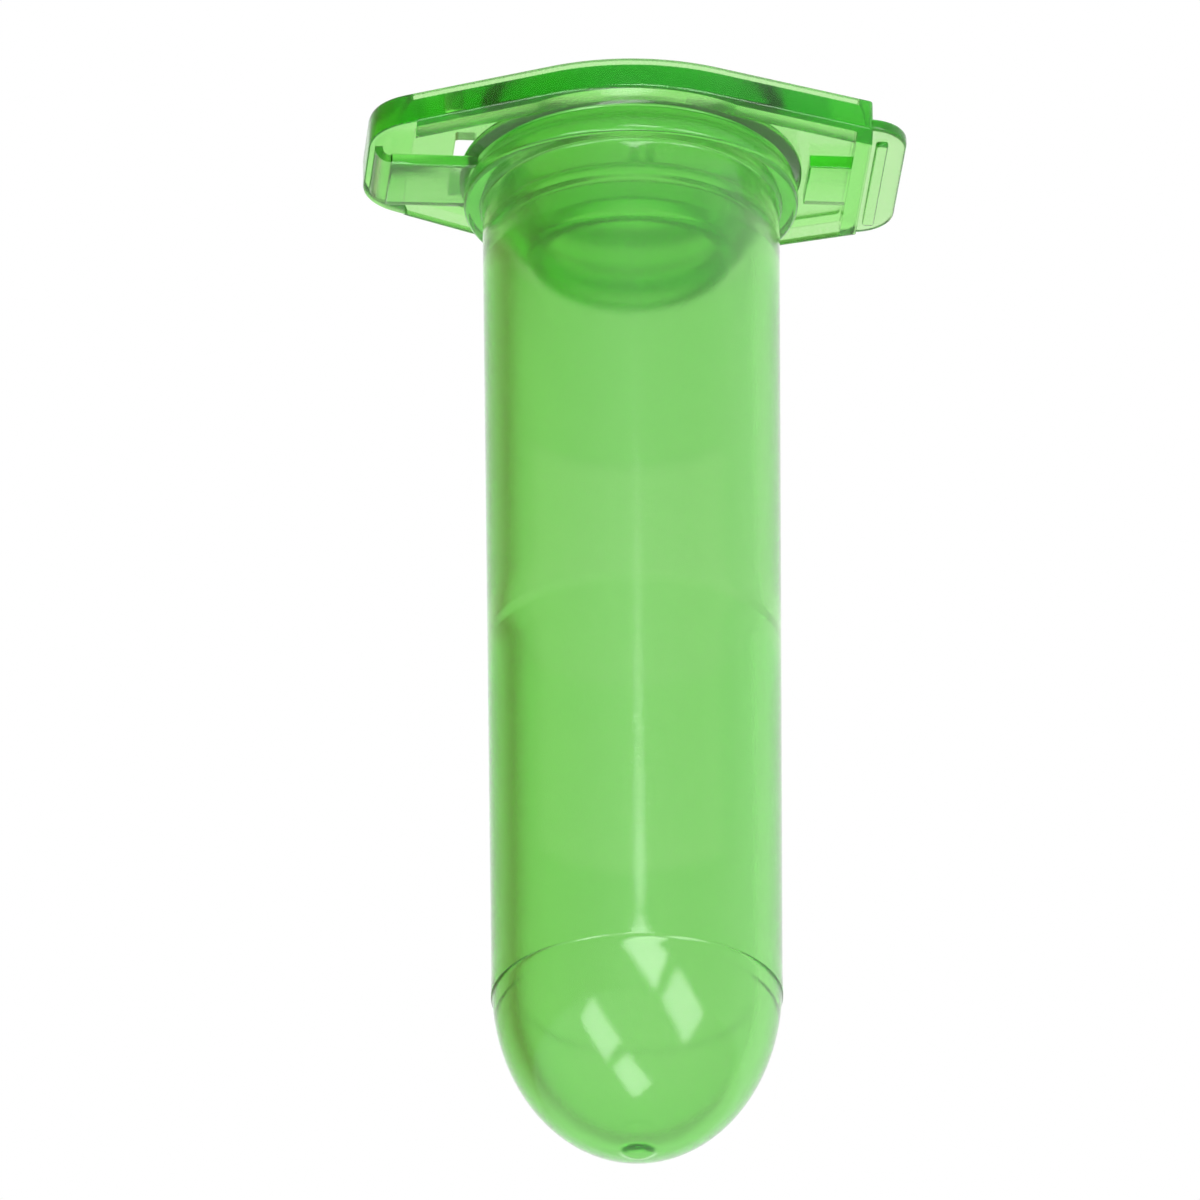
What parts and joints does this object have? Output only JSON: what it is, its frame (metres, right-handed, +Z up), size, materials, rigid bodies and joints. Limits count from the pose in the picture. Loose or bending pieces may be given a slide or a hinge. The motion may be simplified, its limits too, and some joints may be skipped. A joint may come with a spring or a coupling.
{
  "type": "microcentrifuge tube",
  "caption": "Round-bottomed microcentrifuge tube with a hinged snap cap, sealing plug, thumb tab and a collar that hangs in a rack.",
  "frame": {"origin": "on the tube axis at the underside of the collar, the face that hangs in a rack", "axes": "+Z up along the tube axis towards the cap, +X towards the thumb tab, -X towards the hinge"},
  "size_m": [0.02, 0.014, 0.0419],
  "materials": {
    "polypropylene": "translucent green moulded polypropylene, glossy",
    "writing_panel": "same polypropylene with a fine frosted texture"
  },
  "bodies": {
    "tube": {"tube_barrel": "polypropylene", "lower_barrel": "polypropylene", "writing_panel": "writing_panel", "round_bottom": "polypropylene", "gate_vestige": "polypropylene", "seat_ring": "polypropylene", "rim_collar": "polypropylene", "hinge_strap": "polypropylene", "living_hinge": "polypropylene"},
    "lid": {"lid_plate": "polypropylene", "lid_rim": "polypropylene", "hinge_bridge": "polypropylene", "hinge_web": "polypropylene", "tab_rib": "polypropylene", "grip_ridge": "polypropylene", "thumb_tab": "polypropylene", "sealing_plug": "polypropylene", "seal_bead": "polypropylene", "plug_skirt": "polypropylene"}
  },
  "joints": [
    {"name": "lid_hinge", "type": "hinge", "parent": "tube", "child": "lid", "pos_m": [-0.00955, 0, 0.0013], "axis": [0, -1, 0], "range_deg": [0, 175], "deforming": ["living_hinge"]}
  ]
}
